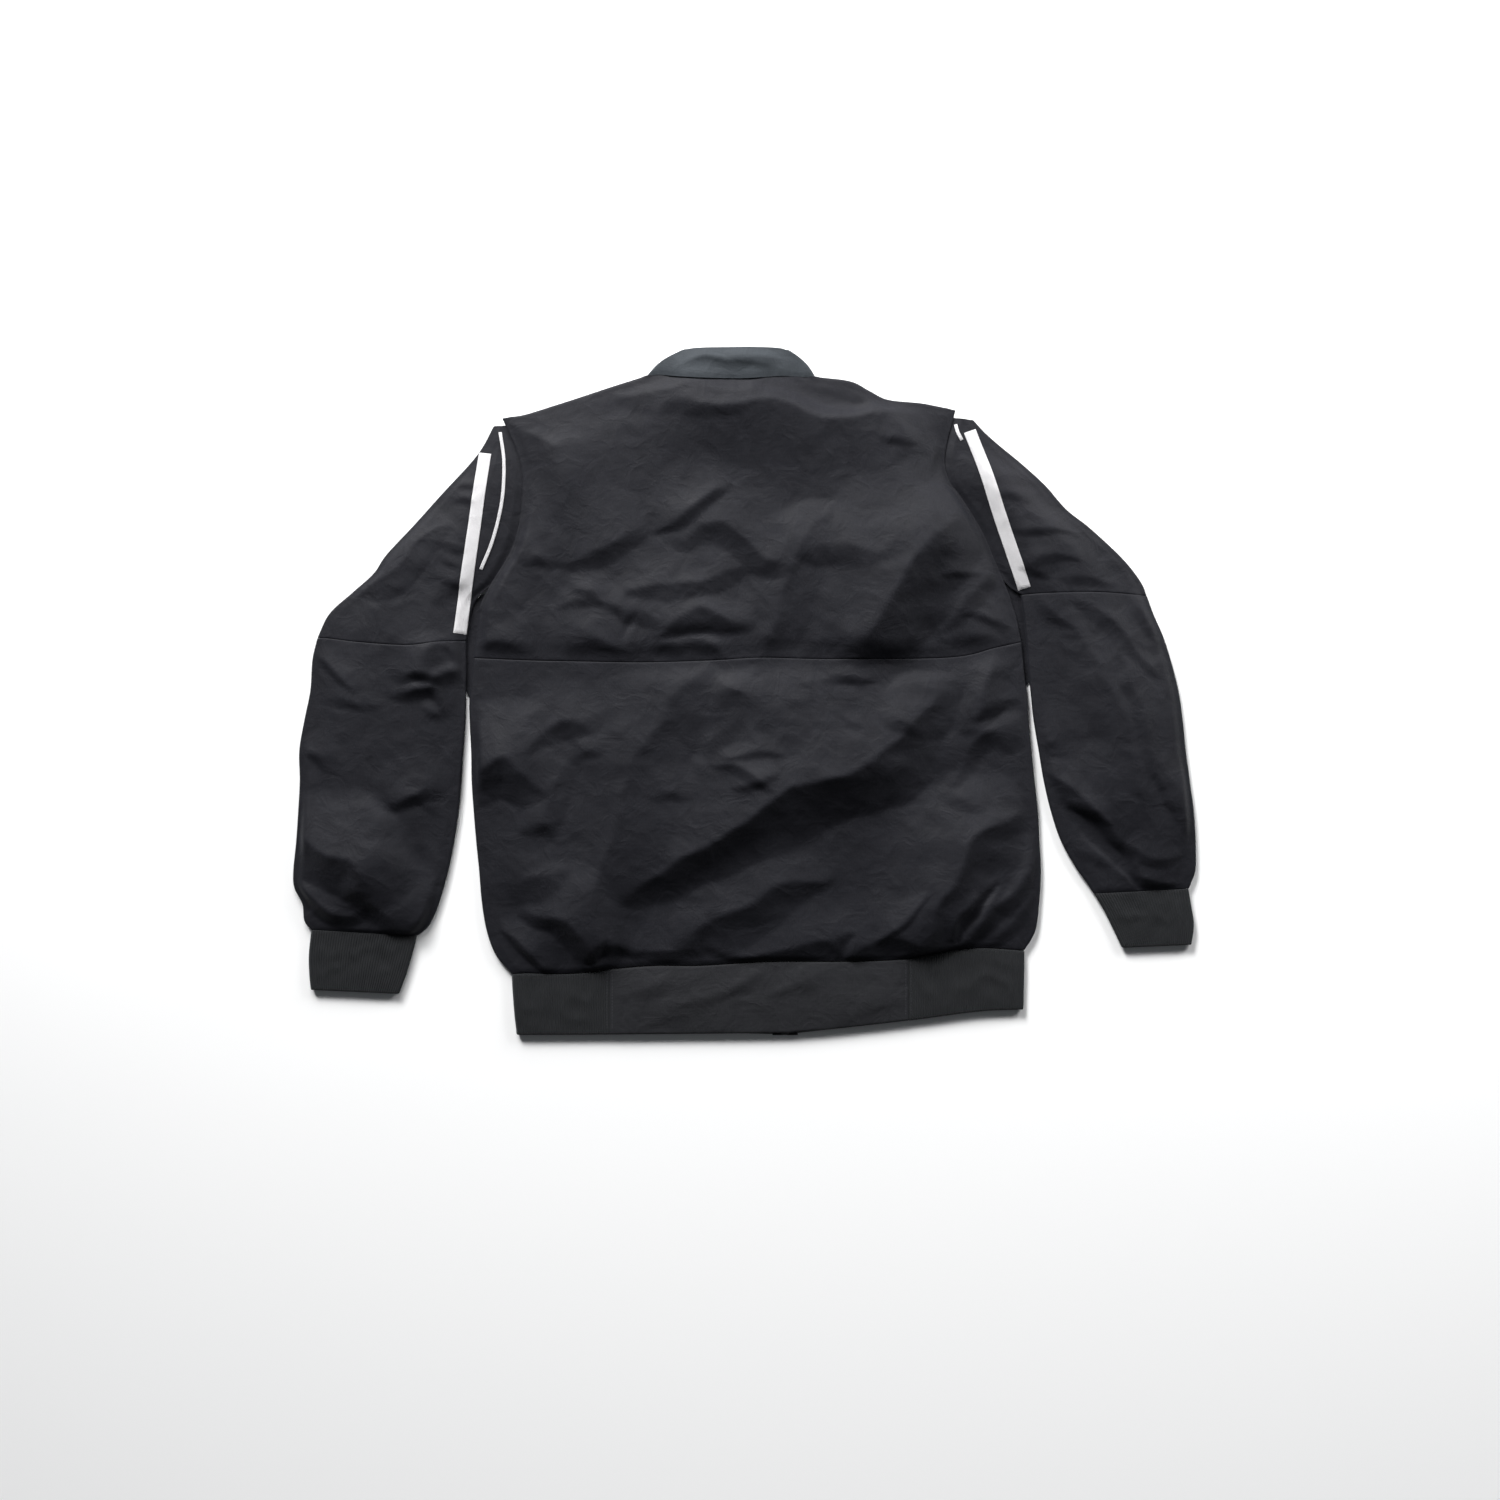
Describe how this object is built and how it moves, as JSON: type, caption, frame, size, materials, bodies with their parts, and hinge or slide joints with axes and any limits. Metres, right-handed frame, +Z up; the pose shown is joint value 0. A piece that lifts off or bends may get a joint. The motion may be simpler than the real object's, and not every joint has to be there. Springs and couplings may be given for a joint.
{
  "type": "track jacket",
  "caption": "Zipped track jacket with stand collar, rib cuffs and hem band, laid flat on its front with its creased back up.",
  "frame": {"origin": "on the surface that the jacket lies on, under the middle of its laid-out outline", "axes": "+Z up, away from that surface; +Y past the collar; +X past the sleeve at the right of the laid-out jacket, seen from above"},
  "size_m": [0.9015, 0.6856, 0.0287],
  "materials": {
    "shell": "near-black woven polyester, slightly satin",
    "collar": "near-black woven polyester, doubled",
    "rib": "fine black rib knit, matte",
    "band": "near-black woven polyester, doubled",
    "white_tape": "off-white woven tape",
    "zip_tape": "black woven zip tape",
    "zip_chain": "black moulded zip teeth",
    "zip_metal": "dark enamelled slider"
  },
  "bodies": {
    "jacket": {"back_upper": "shell", "back_lower": "shell", "front_left": "shell", "front_right": "shell", "sleeve_upper_left": "shell", "sleeve_upper_right": "shell", "sleeve_lower_left": "shell", "sleeve_lower_right": "shell", "collar": "collar", "cuff_left": "rib", "cuff_right": "rib", "hem_rib_left": "rib", "hem_rib_right": "rib", "hem_band_back": "band", "hem_band_front_left": "band", "hem_band_front_right": "band", "sleeve_tape_left": "white_tape", "sleeve_tape_right": "white_tape", "sleeve_piping_left": "white_tape", "sleeve_piping_right": "white_tape", "zip_tape_left": "zip_tape", "zip_tape_right": "zip_tape", "zip_chain": "zip_chain", "zip_slider": "zip_metal"},
    "pull_tab": {"zip_pull_tab": "zip_metal"}
  },
  "joints": [
    {"name": "pull_tab_hinge", "type": "hinge", "parent": "jacket", "child": "pull_tab", "pos_m": [-0.0165, 0.2958, 0.0025], "axis": [1, 0, 0], "range_deg": [0, 165]}
  ]
}
